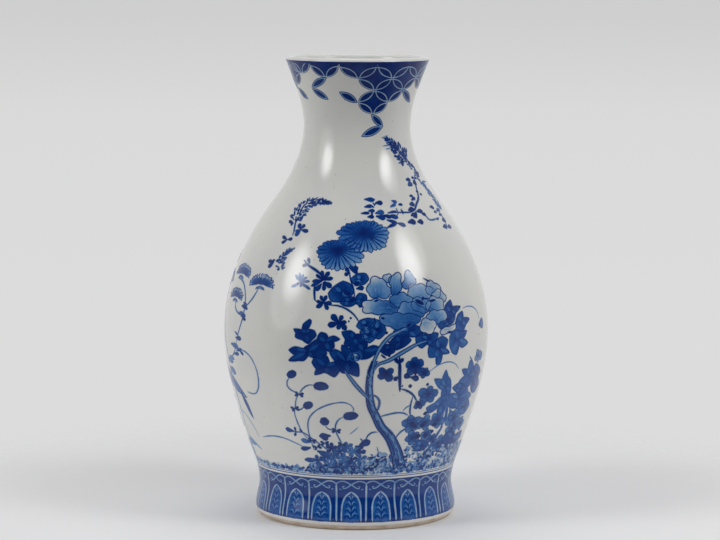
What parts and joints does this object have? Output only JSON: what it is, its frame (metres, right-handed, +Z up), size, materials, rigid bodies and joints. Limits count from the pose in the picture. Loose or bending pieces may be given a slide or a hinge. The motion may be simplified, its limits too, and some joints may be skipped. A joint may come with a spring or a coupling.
{
  "type": "porcelain vase",
  "caption": "Tall round porcelain vase with a flared foot, full belly, narrow neck and turned-out mouth, glazed and painted in blue.",
  "frame": {"origin": "centre of the resting face, on the axis of the vase", "axes": "+Z up the axis of the vase from foot to mouth; -Y faces the viewer of the main painting, with a peony branch and two chrysanthemums; +X to that viewer's right"},
  "size_m": [0.176, 0.176, 0.305],
  "materials": {
    "bare_clay": "unglazed, fine and dry",
    "fired_clay": "vitrified porcelain body",
    "slip": "vitrified luting slip",
    "clear_glaze": "glossy clear glaze over white body",
    "painted_glaze": "glossy clear glaze over cobalt painting",
    "cobalt": "cobalt painting under glossy glaze"
  },
  "bodies": {
    "root": {"foot_ring": "bare_clay", "base_floor": "fired_clay", "floor_coil": "fired_clay", "foot_wall": "fired_clay", "lower_body": "fired_clay", "belly": "fired_clay", "shoulder": "fired_clay", "neck": "fired_clay", "mouth_lip": "fired_clay", "foot_seam": "slip", "belly_seam": "slip", "shoulder_seam": "slip", "neck_seam": "slip", "lip_seam": "slip", "base_glaze": "clear_glaze", "outer_glaze": "painted_glaze", "inner_glaze": "clear_glaze"}
  },
  "joints": []
}
